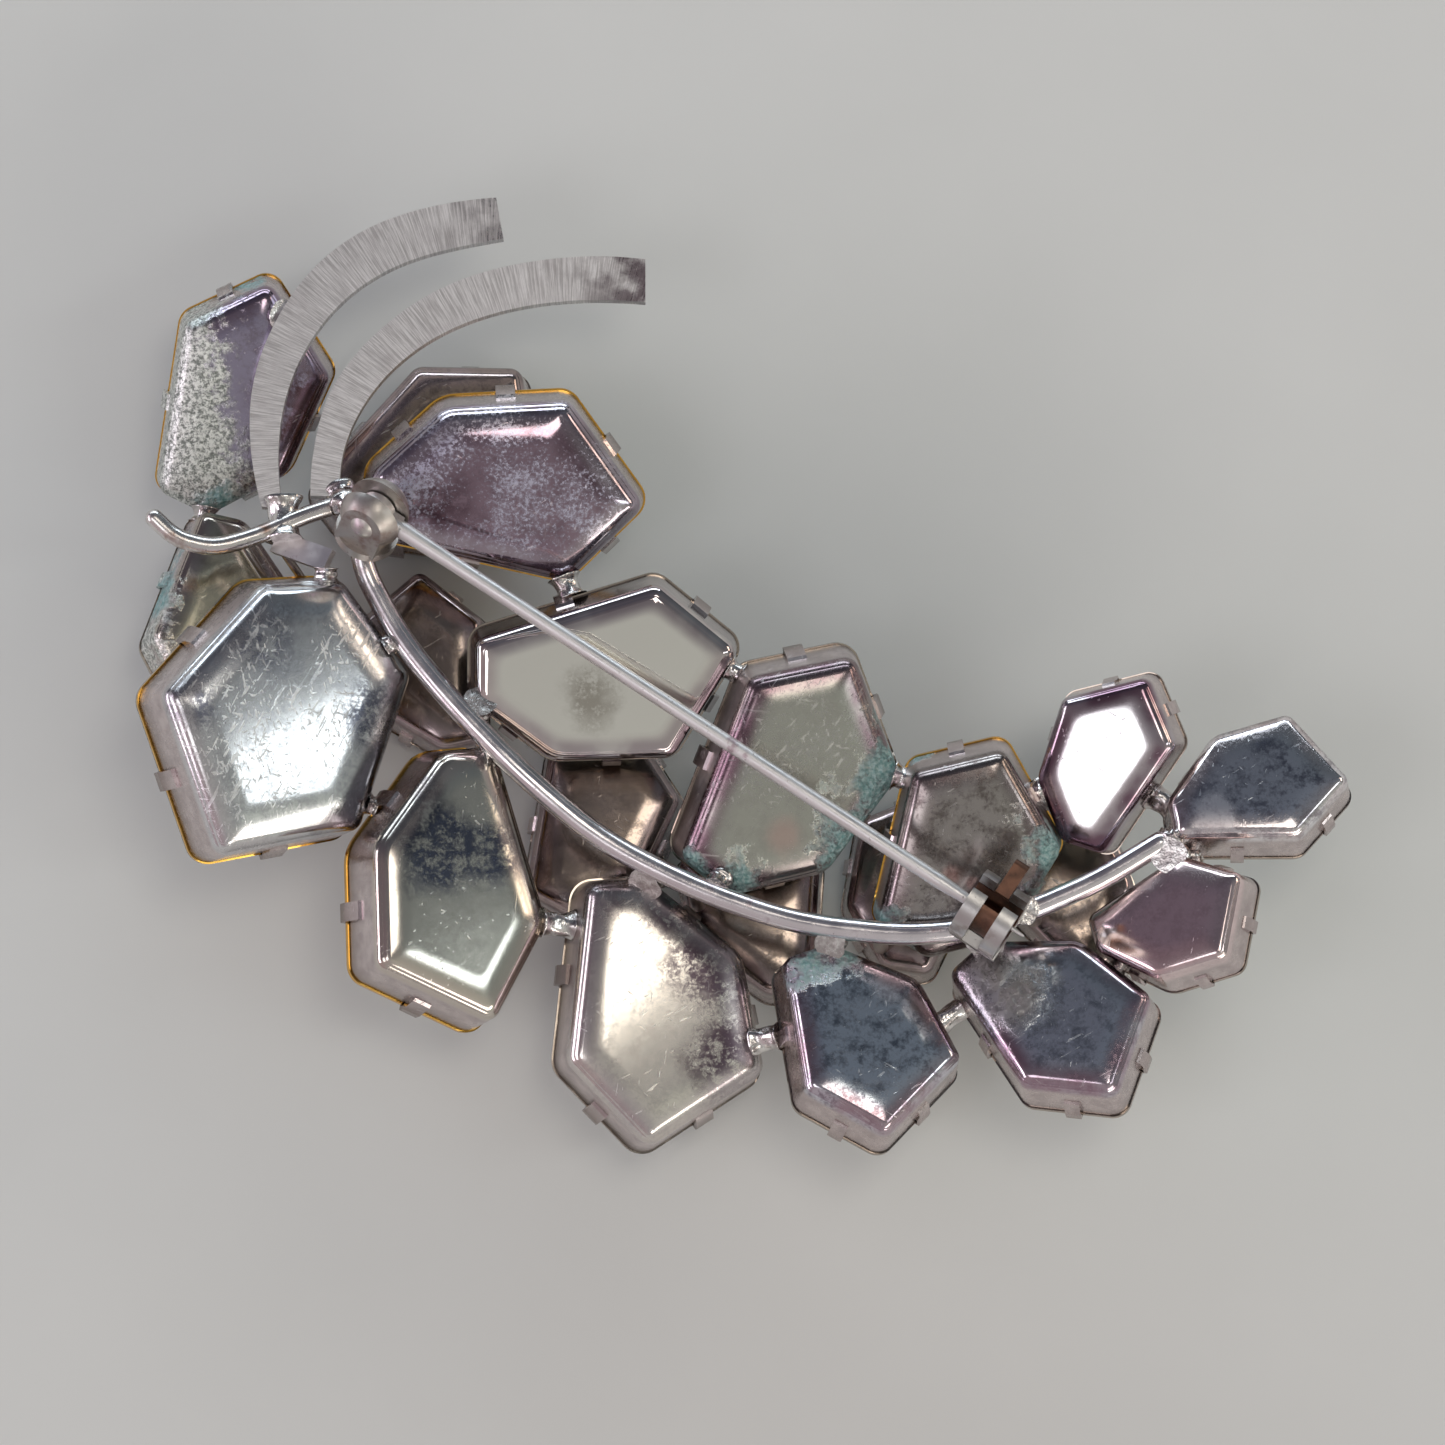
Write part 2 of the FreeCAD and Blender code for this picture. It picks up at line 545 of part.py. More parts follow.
# ---- solder and posts ----
# Pieces that a short plug of solder holds together.
BEADS = [
    ("back_setting_01", "back_setting_02"), ("back_setting_02", "back_setting_03"),
    ("back_setting_03", "back_setting_07"), ("back_setting_07", "back_setting_08"),
    ("back_setting_04", "back_setting_05"), ("back_setting_05", "back_setting_06"),
    ("back_setting_06", "back_setting_09"), ("back_setting_09", "back_setting_10"),
    ("back_setting_10", "back_setting_11"), ("back_setting_11", "back_setting_12"),
    ("back_setting_08", "back_setting_12"), ("back_setting_13", "back_setting_14"),
    ("back_setting_01", "strut"), ("back_setting_04", "joint_cheeks"),
    ("stem_wire", "back_setting_01"), ("stem_wire", "back_setting_02"),
    ("stem_wire", "back_setting_03"), ("stem_wire", "back_setting_05"),
    ("stem_wire", "back_setting_06"), ("stem_wire", "back_setting_07"),
    ("stem_wire", "back_setting_08"), ("stem_wire", "back_setting_09"),
    ("stem_wire", "back_setting_11"), ("stem_wire", "back_setting_12"),
    ("stem_wire", "catch_housing"), ("curl_wire", "joint_cheeks"),
    ("curl_wire", "tendril_outer"), ("curl_wire", "tendril_inner"),
    ("curl_wire", "strut"), ("tendril_outer", "back_setting_13"),
]
# Front settings and what their posts stand under.
POSTS = [
    ("front_setting_1", "back_setting_04"), ("front_setting_2", "stem_wire"),
    ("front_setting_3", "stem_wire"), ("front_setting_4", "stem_wire"),
    ("front_setting_5", "stem_wire"), ("front_setting_6", "stem_wire"),
    ("back_setting_14", "back_setting_01"),
]


def bar_between(first, second, radius):
    """Round bar across the narrowest gap between two pieces, let a little way into each."""
    start, end = first.distToShape(second)[1][0]
    bite = (end - start).normalize() * BAR_BITE
    return rod(start - bite, end + bite, radius)


def fitted_group(blanks, nodes):
    """Bars cut to meet every neighbour, and one another, face to face."""
    solids = []
    for solid in blanks:
        for shape in list(nodes.values()) + solids:
            if shape.BoundBox.intersect(solid.BoundBox):
                pieces = solid.cut(shape).Solids
                solid = max(pieces, key=lambda piece: piece.Volume)
        solids.append(solid)
    return Part.makeCompound(solids)


def main():
    os.makedirs("parts", exist_ok=True)
    nodes = {}
    for number, row in enumerate(BACK_LEAVES, 1):
        shape, mirrored, x, y, z, heading, tilt, lean, length, width = row
        cup, stone, _ = make_leaf(shape, mirrored, length, width)
        where = leaf_placement(x, y, z, heading, tilt, lean)
        nodes[f"back_setting_{number:02d}"] = placed(cup, where)
        nodes[f"back_stone_{number:02d}"] = placed(stone, where)
    for number, row in enumerate(FRONT_LEAVES, 1):
        shape, mirrored, x, y, heading, length, width = row
        cup, stone, height = make_leaf(shape, mirrored, length, width)
        where = leaf_placement(x, y, height + LAYOUT_ORIGIN[2], heading, 0, 0)
        nodes[f"front_setting_{number}"] = placed(cup, where)
        nodes[f"front_stone_{number}"] = placed(stone, where)

    nodes["stem_wire"] = make_wire(STEM_PATH, STEM_RADIUS)
    nodes["curl_wire"] = make_wire(CURL_PATH, CURL_RADIUS)
    for name, (outer, inner) in TENDRILS.items():
        nodes[name] = make_strip(outer, inner)
    nodes["strut"] = make_strut()
    nodes["joint_cheeks"] = make_joint(nodes["stem_wire"])
    nodes["joint_rivet"] = make_rivet()
    nodes["pin_stem"] = make_pin()
    nodes["catch_housing"] = make_housing()
    nodes["catch_rotor"] = make_rotor()

    braces = [rod(on_plan(start), on_plan(end), BRACE_RADIUS) for start, end in BRACES]
    nodes["braces"] = fitted_group(braces, nodes)
    posts = [bar_between(nodes[first], nodes[second], POST_RADIUS) for first, second in POSTS]
    nodes["front_posts"] = fitted_group(posts, nodes)
    beads = [bar_between(nodes[first], nodes[second], BEAD_RADIUS) for first, second in BEADS]
    nodes["solder_beads"] = fitted_group(beads, nodes)

    for name, shape in nodes.items():
        shape.exportStep(f"parts/{name}.step")
        print(name, shape.isValid(), len(shape.Solids), round(shape.Volume, 2))
    print("overall", Part.makeCompound(list(nodes.values())).BoundBox)


main()
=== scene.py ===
import math

import bmesh
import bpy
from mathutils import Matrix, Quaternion, Vector, geometry, noise


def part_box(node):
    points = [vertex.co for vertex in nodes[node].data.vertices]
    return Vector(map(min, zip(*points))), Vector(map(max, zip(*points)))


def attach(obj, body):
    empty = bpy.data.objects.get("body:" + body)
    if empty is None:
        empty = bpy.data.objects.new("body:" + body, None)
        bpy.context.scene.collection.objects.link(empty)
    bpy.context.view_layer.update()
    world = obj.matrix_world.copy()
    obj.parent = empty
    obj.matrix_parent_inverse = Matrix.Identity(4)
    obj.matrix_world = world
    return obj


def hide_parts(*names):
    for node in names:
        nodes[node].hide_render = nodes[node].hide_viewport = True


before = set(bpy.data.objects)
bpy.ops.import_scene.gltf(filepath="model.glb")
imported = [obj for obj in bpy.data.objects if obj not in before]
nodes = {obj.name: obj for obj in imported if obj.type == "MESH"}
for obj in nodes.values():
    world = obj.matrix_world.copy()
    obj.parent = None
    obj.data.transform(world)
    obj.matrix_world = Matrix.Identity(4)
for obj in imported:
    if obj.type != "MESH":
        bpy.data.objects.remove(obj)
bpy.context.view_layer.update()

# Metres. The brooch lies face down: stones at the bottom, pin on top.

# ---- camera ----
CAMERA_AZIMUTH = 0.0
CAMERA_ELEVATION = 80.0
CAMERA_DISTANCE = 0.450
CAMERA_TARGET = Vector((-0.00117, -0.00352, 0.0119))
SENSOR = 36.0
LENS = 171.5


def add_camera():
    elevation = math.radians(CAMERA_ELEVATION)
    azimuth = math.radians(CAMERA_AZIMUTH)
    away = Vector((
        math.sin(azimuth) * math.cos(elevation),
        -math.cos(azimuth) * math.cos(elevation),
        math.sin(elevation),
    ))
    data = bpy.data.cameras.new("camera")
    data.lens = LENS
    data.sensor_width = SENSOR
    data.clip_start = 0.01
    camera = bpy.data.objects.new("camera", data)
    camera.location = CAMERA_TARGET + away * CAMERA_DISTANCE
    camera.rotation_euler = away.to_track_quat("Z", "Y").to_euler()
    bpy.context.scene.collection.objects.link(camera)
    bpy.context.scene.camera = camera


# ---- node helpers ----
class Graph:
    """A material's node tree, with short calls for the nodes used here."""

    def __init__(self, name):
        self.material = bpy.data.materials.new(name)
        self.material.use_nodes = True
        self.tree = self.material.node_tree
        self.shader = self.tree.nodes["Principled BSDF"]
        self.place = self.node("ShaderNodeTexCoord").outputs["Object"]

    def node(self, kind, **settings):
        made = self.tree.nodes.new(kind)
        for key, value in settings.items():
            setattr(made, key, value)
        return made

    def link(self, source, target):
        self.tree.links.new(source, target)

    def feed(self, value, socket):
        if isinstance(value, bpy.types.NodeSocket):
            self.link(value, socket)
        else:
            socket.default_value = value

    def stretched(self, scale, turn=0.0, shift=(0.0, 0.0, 0.0)):
        """Object coordinates, turned about Z, moved and scaled."""
        mapping = self.node("ShaderNodeMapping")
        self.link(self.place, mapping.inputs["Vector"])
        mapping.inputs["Rotation"].default_value = (0.0, 0.0, turn)
        mapping.inputs["Scale"].default_value = scale
        mapping.inputs["Location"].default_value = shift
        return mapping.outputs["Vector"]

    def noise(self, scale, detail=4.0, rough=0.55, vector=None, distortion=0.0):
        made = self.node("ShaderNodeTexNoise")
        self.link(vector or self.place, made.inputs["Vector"])
        made.inputs["Scale"].default_value = scale
        made.inputs["Detail"].default_value = detail
        made.inputs["Roughness"].default_value = rough
        made.inputs["Distortion"].default_value = distortion
        return made.outputs["Fac"]

    def cells(self, scale, vector):
        made = self.node("ShaderNodeTexVoronoi")
        self.link(vector, made.inputs["Vector"])
        made.inputs["Scale"].default_value = scale
        return made.outputs["Distance"]

    def band(self, value, low, high, out_low=0.0, out_high=1.0):
        """Value carried smoothly from low..high to out_low..out_high."""
        made = self.node("ShaderNodeMapRange", interpolation_type="SMOOTHSTEP")
        self.feed(value, made.inputs["Value"])
        made.inputs["From Min"].default_value = low
        made.inputs["From Max"].default_value = high
        made.inputs["To Min"].default_value = out_low
        made.inputs["To Max"].default_value = out_high
        return made.outputs["Result"]

    def maths(self, operation, a, b=0.0):
        made = self.node("ShaderNodeMath", operation=operation)
        self.feed(a, made.inputs[0])
        self.feed(b, made.inputs[1])
        return made.outputs[0]

    def blend(self, factor, a, b):
        """Colour a where factor is 0, b where it is 1."""
        made = self.node("ShaderNodeMix", data_type="RGBA")
        self.feed(factor, made.inputs["Factor"])
        self.feed(a if not isinstance(a, tuple) else (*a, 1.0), made.inputs["A"])
        self.feed(b if not isinstance(b, tuple) else (*b, 1.0), made.inputs["B"])
        return made.outputs["Result"]

    def reach(self, direction, point):
        """How far the surface lies from a point, along a direction."""
        away = self.node("ShaderNodeVectorMath", operation="SUBTRACT")
        self.link(self.place, away.inputs[0])
        away.inputs[1].default_value = point
        dot = self.node("ShaderNodeVectorMath", operation="DOT_PRODUCT")
        self.link(away.outputs[0], dot.inputs[0])
        dot.inputs[1].default_value = direction
        return dot.outputs["Value"]

    def along(self, start, end):
        """0 at start and 1 at end, linear between."""
        span = Vector(end) - Vector(start)
        return self.reach(span / span.length_squared, start)

    def bump(self, height, strength, distance):
        made = self.node("ShaderNodeBump")
        made.inputs["Strength"].default_value = strength
        made.inputs["Distance"].default_value = distance
        self.link(height, made.inputs["Height"])
        return made.outputs["Normal"]

    def finish(self, colour, rough, normal=None, metallic=1.0):
        self.feed(colour, self.shader.inputs["Base Color"])
        self.feed(rough, self.shader.inputs["Roughness"])
        self.feed(metallic, self.shader.inputs["Metallic"])
        if normal:
            self.link(normal, self.shader.inputs["Normal"])
        return self.material


def give(name, material):
    data = nodes[name].data
    data.materials.clear()
    data.materials.append(material)


# ---- lights, floor ----
FLOOR_HALF = 1.2
FLOOR_GAP = 0.00002      # below the stones, so that no faces meet


def add_area(name, azimuth, elevation, distance, size, spin, radiance, colour):
    """Soft box aimed at the brooch; azimuth 0 is +X and 90 is +Y, in degrees."""
    turn, rise = math.radians(azimuth), math.radians(elevation)
    away = Vector((
        math.cos(turn) * math.cos(rise),
        math.sin(turn) * math.cos(rise),
        math.sin(rise),
    ))
    data = bpy.data.lights.new(name, "AREA")
    data.shape = "RECTANGLE"
    data.size, data.size_y = size
    data.energy = radiance * math.pi * size[0] * size[1]
    data.color = colour
    lamp = bpy.data.objects.new(name, data)
    lamp.location = away * distance
    facing = away.to_track_quat("Z", "Y") @ Quaternion((0.0, 0.0, 1.0), math.radians(spin))
    lamp.rotation_euler = facing.to_euler()
    bpy.context.scene.collection.objects.link(lamp)


SOFT_BOXES = [
    # name, azimuth, elevation, distance, (width, height), turn, radiance, colour
    ("band_right", -8.0, 44.0, 0.60, (0.075, 0.24), 35.0, 3.4, (0.95, 1.0, 1.0)),
    ("window_top", 15.0, 79.0, 0.60, (0.15, 0.20), 25.0, 3.8, (1.0, 0.94, 0.84)),
    ("window_left", 212.0, 57.0, 0.60, (0.21, 0.19), 0.0, 2.1, (0.98, 0.97, 1.0)),
    ("window_back", 95.0, 17.0, 0.70, (0.90, 0.16), 0.0, 5.0, (0.80, 0.92, 1.0)),
    ("window_side", 184.0, 19.0, 0.70, (0.60, 0.16), 0.0, 4.4, (0.98, 0.90, 1.0)),
    ("window_front", 305.0, 24.0, 0.70, (0.70, 0.14), 0.0, 4.0, (1.0, 0.93, 0.86)),
    ("window_low", 20.0, 20.0, 0.70, (0.30, 0.14), 0.0, 3.4, (1.0, 0.80, 0.62)),
]


WORLD_RAMPS = [
    ("Y", [(0.10, (0.42, 0.42, 0.40)), (0.28, (0.42, 0.42, 0.39)), (0.42, (0.24, 0.24, 0.24)),
           (0.58, (0.15, 0.15, 0.16)), (0.72, (0.11, 0.12, 0.14)), (0.92, (0.07, 0.08, 0.09))]),
    ("X", [(0.12, (0.98, 0.78, 0.86)), (0.5, (0.98, 0.96, 1.0)), (0.85, (1.25, 1.28, 1.22))]),
]


def add_studio():
    """Soft boxes, and a room that is pale in front, dim behind and a little pinker to the left."""
    world = bpy.data.worlds.new("studio")
    world.use_nodes = True
    tree = world.node_tree
    back = tree.nodes["Background"]
    coord = tree.nodes.new("ShaderNodeTexCoord")
    split = tree.nodes.new("ShaderNodeSeparateXYZ")
    tree.links.new(coord.outputs["Generated"], split.inputs[0])
    ramps = []
    for axis, stops in WORLD_RAMPS:
        span = tree.nodes.new("ShaderNodeMapRange")
        span.inputs["From Min"].default_value = -1.0
        tree.links.new(split.outputs[axis], span.inputs["Value"])
        ramp = tree.nodes.new("ShaderNodeValToRGB")
        tree.links.new(span.outputs["Result"], ramp.inputs["Fac"])
        elements = ramp.color_ramp.elements
        while len(elements) < len(stops):
            elements.new(0.5)
        for element, (position, colour) in zip(elements, stops):
            element.position = position
            element.color = (*colour, 1.0)
        ramps.append(ramp.outputs["Color"])
    mix = tree.nodes.new("ShaderNodeMix")
    mix.data_type = "RGBA"
    mix.blend_type = "MULTIPLY"
    mix.inputs["Factor"].default_value = 1.0
    tree.links.new(ramps[0], mix.inputs["A"])
    tree.links.new(ramps[1], mix.inputs["B"])
    tree.links.new(mix.outputs["Result"], back.inputs["Color"])
    back.inputs["Strength"].default_value = 1.0
    bpy.context.scene.world = world
    bpy.context.scene.view_settings.view_transform = "Standard"
    for box in SOFT_BOXES:
        add_area(*box)


def add_floor():
    signs = ((-1, -1), (1, -1), (1, 1), (-1, 1))
    mesh = bpy.data.meshes.new("floor")
    mesh.from_pydata([(x * FLOOR_HALF, y * FLOOR_HALF, 0.0) for x, y in signs], [], [(0, 1, 2, 3)])
    floor = bpy.data.objects.new("floor", mesh)
    floor.location.z = -FLOOR_GAP
    bpy.context.scene.collection.objects.link(floor)
    graph = Graph("pale_floor")
    tone = graph.blend(graph.noise(60.0), (0.70, 0.71, 0.69), (0.75, 0.76, 0.74))
    floor.data.materials.append(graph.finish(tone, 0.85, metallic=0.0))


# ---- where a leaf's plate lies, read from its mesh ----
FACING = 0.5             # least vertical part of a plate's normal
NORMAL_STEPS = 200       # faces count as one flat when their normals agree to 1 in 200
ON_PLATE = 5e-6
SHORTEST_SIDE = 0.0012   # shorter runs belong to rounded corners


def largest_plane(name, facing):
    """Normal and a point of a node's largest flat that faces up (1) or down (-1)."""
    flats = {}
    for face in nodes[name].data.polygons:
        if face.normal.z * facing > FACING:
            key = tuple(round(value * NORMAL_STEPS) for value in face.normal)
            flats.setdefault(key, []).append(face)
    faces = max(flats.values(), key=lambda flat: sum(face.area for face in flat))
    widest = max(faces, key=lambda face: face.area)
    return widest.normal.copy(), widest.center.copy()


def plate_sides(name, normal, point):
    """A plate's long sides, as (outward direction, a point on the side), and its middle."""
    corners = []
    for vertex in nodes[name].data.vertices:
        if abs((vertex.co - point).dot(normal)) < ON_PLATE:
            corners.append(vertex.co.copy())
    across = normal.orthogonal().normalized()
    along = normal.cross(across)
    flat = [(corner.dot(across), corner.dot(along)) for corner in corners]
    hull = [corners[k] for k in geometry.convex_hull_2d(flat)]
    middle = sum(hull, Vector()) / len(hull)
    sides = {}
    for k, corner in enumerate(hull):
        run = hull[(k + 1) % len(hull)] - corner
        if run.length > SHORTEST_SIDE:
            out = run.cross(normal).normalized()
            if out.dot(corner - middle) < 0:
                out.negate()
            sides[tuple(round(value, 2) for value in out)] = (out, corner)
    return list(sides.values()), middle


# ---- materials ----
DARK_PLUM = (0.13, 0.08, 0.10)
SLATE = (0.12, 0.13, 0.17)
BROWN = (0.17, 0.13, 0.11)
SILVER = (0.74, 0.73, 0.72)
PLUM_SILVER = (0.50, 0.40, 0.43)
HAZE = (0.46, 0.44, 0.50)
VERDIGRIS = (0.13, 0.29, 0.28)
PALE_VERDIGRIS = (0.40, 0.54, 0.53)

LEAF_SHIFT = 37.0        # moves each leaf's noise by its own place, so no two are alike
WIRE_SHIFT = 31.0
CORNER_SOFTNESS = 0.0008
SCRATCH_STRETCH = 9.0

# Where each tone begins and is full, in metres.
RIM = (-0.0011, -0.0001)         # past the plate's outline
WALL = (0.0006, 0.0012)          # below the plate
# Depth below the plate where painted shade darkens the wall.
LOW_WALL_SHADE = (0.0022, 0.0046)

# Relief, in metres.
FINE_RELIEF = 0.0000004
SCRATCH_RELIEF = 0.0000035
GRAIN_RELIEF = 0.00006
SMEAR_RELIEF = 0.0003
PIT_RELIEF = 0.0002


class Leaf(Graph):
    """Plating of one cup: mirror plate, soft rounded edge and crusts, with tarnished tones and edge
    bands that are partly painted reflection.
    """

    def __init__(self, name):
        super().__init__(name + "_plating")
        self.low, self.high = (Vector(corner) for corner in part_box(name))
        self.normal, self.point = largest_plane(name, 1)
        self.sides, self.middle = plate_sides(name, self.normal, self.point)
        self.shift = tuple(value * LEAF_SHIFT for value in self.low)
        self.moved = self.stretched((1.0, 1.0, 1.0), 0.0, self.shift)
        self.fine = self.noise(4200.0, 4.0, 0.7, self.moved)
        self.cloud = self.noise(900.0, 5.0, 0.62, self.moved)
        self.broad = self.noise(240.0, 3.0, 0.5, self.moved)
        self.depth = self.reach(-self.normal, self.point)
        self.inset = self.edge_distance()

    def edge_distance(self):
        """Metres past the plate's outline; below 0 on the plate."""
        result = None
        for out, corner in self.sides:
            value = self.reach(out, corner)
            if result is None:
                result = value
                continue
            made = self.node("ShaderNodeMath", operation="SMOOTH_MAX")
            self.feed(result, made.inputs[0])
            self.feed(value, made.inputs[1])
            made.inputs[2].default_value = CORNER_SOFTNESS
            result = made.outputs[0]
        return result

    def pillow(self, width, radius, dome):
        """Metres that the plate falls away near its outline, and from its middle."""
        inside = self.maths("ADD", self.inset, width)
        inside = self.maths("MINIMUM", self.maths("MAXIMUM", inside, 0.0), width * 1.3)
        fall = self.maths("MULTIPLY", self.maths("MULTIPLY", inside, inside), -0.5 / radius)
        span = self.node("ShaderNodeVectorMath", operation="DISTANCE")
        self.link(self.place, span.inputs[0])
        span.inputs[1].default_value = self.middle
        square = self.maths("MULTIPLY", span.outputs["Value"], span.outputs["Value"])
        return self.maths("ADD", fall, self.maths("MULTIPLY", square, -0.5 * dome))

    def spot(self, fx, fy, radius, softness=0.5, ragged=0.5):
        """1 in a ragged round patch at a fraction of the leaf's box."""
        middle = Vector((
            self.low.x + (self.high.x - self.low.x) * fx,
            self.low.y + (self.high.y - self.low.y) * fy,
            0.0,
        ))
        flat = self.node("ShaderNodeVectorMath", operation="MULTIPLY")
        self.link(self.place, flat.inputs[0])
        flat.inputs[1].default_value = (1.0, 1.0, 0.0)
        span = self.node("ShaderNodeVectorMath", operation="DISTANCE")
        self.link(flat.outputs[0], span.inputs[0])
        span.inputs[1].default_value = middle
        worn = self.maths("ADD", self.maths("MULTIPLY", self.broad, 0.6),
                          self.maths("MULTIPLY", self.cloud, 0.4))
        worn = self.maths("MULTIPLY", self.maths("SUBTRACT", worn, 0.5), radius * ragged * 6.0)
        total = self.maths("ADD", span.outputs["Value"], worn)
        return self.band(total, radius * (1.0 - softness), radius * (1.0 + softness), 1.0, 0.0)

    def side(self, angle, offset, softness=0.0012, ragged=0.0015):
        """1 on the side of the leaf that lies towards `angle`, beyond `offset` of its half width."""
        turn = math.radians(angle)
        facing = Vector((math.cos(turn), math.sin(turn), 0.0))
        middle = (self.low + self.high) / 2.0
        half = (self.high - self.low) / 2.0
        reach = abs(facing.x) * half.x + abs(facing.y) * half.y
        worn = self.maths("MULTIPLY", self.maths("SUBTRACT", self.cloud, 0.5), ragged * 4.0)
        value = self.maths("ADD", self.reach(facing, middle), worn)
        edge = reach * offset
        return self.band(value, edge - softness, edge + softness)

    def most(self, *masks):
        """The strongest of some masks."""
        result = masks[0]
        for mask in masks[1:]:
            result = self.maths("MAXIMUM", result, mask)
        return result

    def scaled(self, mask, amount):
        return self.maths("MULTIPLY", mask, amount)

    def scratches(self, angle, scale, level):
        """Short, slightly bent hairlines that run one way."""
        mapping = self.node("ShaderNodeMapping", vector_type="TEXTURE")
        self.link(self.place, mapping.inputs["Vector"])
        mapping.inputs["Location"].default_value = self.shift
        mapping.inputs["Rotation"].default_value = (0.0, 0.0, math.radians(angle))
        mapping.inputs["Scale"].default_value = (SCRATCH_STRETCH, 1.0, 1.0)
        lines = self.noise(scale, 2.0, 0.5, mapping.outputs["Vector"], 0.25)
        return self.band(lines, level, level + 0.05)


def plate(name, tone=SILVER, dark=DARK_PLUM, dark_amount=0.3, haze_amount=0.15, rough=0.07,
          edge=PLUM_SILVER, edge_amount=0.6, roll=0.0016, roll_radius=0.006, dome=8.0,
          dark_at=(), haze_at=(), crust_at=(), solder_at=(), grains_at=(), pink_at=(),
          scratch_angle=30.0, scratch_level=0.68, wavy=0.00002, haze_tone=HAZE, haze_cover=0.5):
    leaf = Leaf(name)
    # Dark mottle, dark patches and each leaf's tone are partly tarnished colour and partly painted
    # reflection of what a mirror plate would show.
    speckle = leaf.maths("ADD", leaf.scaled(leaf.cloud, 0.6), leaf.scaled(leaf.fine, 0.4))
    tarnish_and_painted_reflection = leaf.scaled(leaf.band(speckle, 0.44, 0.62), dark_amount)
    if dark_at:
        inside = leaf.most(*[leaf.spot(*spot) for spot in dark_at])
        clots = leaf.band(speckle, 0.38, 0.54, 0.12, 1.0)
        tarnish_and_painted_reflection = leaf.most(tarnish_and_painted_reflection, leaf.maths("MULTIPLY", inside, clots))
    colour = leaf.blend(tarnish_and_painted_reflection, tone, dark)
    frost = leaf.maths("ADD", leaf.scaled(leaf.broad, 0.4), leaf.scaled(leaf.fine, 0.6))
    haze = leaf.scaled(leaf.band(frost, 0.46, 0.64), haze_amount)
    if haze_at:
        haze = leaf.most(haze, *[leaf.spot(*spot) for spot in haze_at])
    colour = leaf.blend(leaf.scaled(haze, haze_cover), colour, haze_tone)
    # Painted reflection band: the tone past the plate's outline, on the rounded edge, is partly
    # tarnished colour and partly a painted dark or pale reflection along the bevel.
    rim = leaf.maths("MULTIPLY", leaf.band(leaf.inset, *RIM),
                     leaf.band(leaf.broad, 0.35, 0.60, 0.5, 1.0))
    colour = leaf.blend(leaf.scaled(rim, edge_amount), colour, edge)
    wall = leaf.band(leaf.depth, *WALL)
    wall_tone = leaf.blend(leaf.band(leaf.cloud, 0.30, 0.70), (0.50, 0.43, 0.43), (0.68, 0.60, 0.59))
    # Painted shade: the lower wall, towards the stones and floor, is blended to dark brown.
    shaded_low_wall = leaf.band(leaf.depth, *LOW_WALL_SHADE)
    wall_tone = leaf.blend(shaded_low_wall, wall_tone, (0.30, 0.25, 0.23))
    colour = leaf.blend(wall, colour, wall_tone)
    lines = leaf.most(leaf.scratches(scratch_angle, 4200.0, scratch_level),
                      leaf.scratches(scratch_angle + 52.0, 5200.0, scratch_level + 0.01),
                      leaf.scratches(scratch_angle + 117.0, 3600.0, scratch_level + 0.02))
    lines = leaf.maths("MULTIPLY", lines, leaf.band(leaf.broad, 0.42, 0.58, 0.1, 1.0))
    colour = leaf.blend(leaf.scaled(lines, 0.25), colour, (0.86, 0.85, 0.84))
    roughness = leaf.maths("ADD", leaf.scaled(haze, 0.22), rough)
    roughness = leaf.maths("ADD", roughness, leaf.scaled(tarnish_and_painted_reflection, 0.12))
    roughness = leaf.maths("ADD", roughness, leaf.scaled(lines, 0.20))
    roughness = leaf.maths("ADD", roughness, leaf.scaled(wall, 0.10))
    relief = leaf.maths("ADD", leaf.pillow(roll, roll_radius, dome),
                        leaf.scaled(leaf.fine, FINE_RELIEF))
    relief = leaf.maths("ADD", relief, leaf.scaled(leaf.broad, wavy))
    relief = leaf.maths("SUBTRACT", relief, leaf.scaled(lines, SCRATCH_RELIEF))
    metal = None
    if grains_at:
        grains = leaf.most(*[leaf.side(*side) for side in grains_at])
        crystals = leaf.noise(3800.0, 3.0, 0.8, leaf.moved)
        grain_tone = leaf.blend(leaf.band(crystals, 0.38, 0.60),
                                (0.22, 0.24, 0.22), (0.88, 0.90, 0.86))
        colour = leaf.blend(grains, colour, grain_tone)
        roughness = leaf.maths("ADD", roughness, leaf.scaled(grains, 0.22))
        raised = leaf.maths("MULTIPLY", crystals, grains)
        relief = leaf.maths("ADD", relief, leaf.scaled(raised, GRAIN_RELIEF))
    if solder_at:
        smear = leaf.most(*[leaf.spot(*spot) for spot in solder_at])
        lumps = leaf.noise(900.0, 4.0, 0.6, leaf.moved)
        smear_tone = leaf.blend(lumps, (0.26, 0.25, 0.26), (0.60, 0.58, 0.57))
        colour = leaf.blend(smear, colour, smear_tone)
        roughness = leaf.maths("ADD", roughness, leaf.scaled(smear, 0.16))
        raised = leaf.maths("MULTIPLY", lumps, smear)
        relief = leaf.maths("ADD", relief, leaf.scaled(raised, SMEAR_RELIEF))
    if pink_at:
        bare = leaf.most(*[leaf.spot(*spot) for spot in pink_at])
        colour = leaf.blend(leaf.scaled(bare, 0.4), colour, (0.70, 0.42, 0.38))
    if crust_at:
        crust = leaf.most(*[leaf.spot(*spot, softness=0.5, ragged=1.5) for spot in crust_at])
        crust = leaf.maths("MULTIPLY", crust, leaf.band(speckle, 0.34, 0.50))
        pits = leaf.cells(2400.0, leaf.moved)
        crust_tone = leaf.blend(leaf.band(leaf.fine, 0.35, 0.65), VERDIGRIS, PALE_VERDIGRIS)
        colour = leaf.blend(crust, colour, crust_tone)
        roughness = leaf.maths("ADD", roughness, leaf.scaled(crust, 0.4))
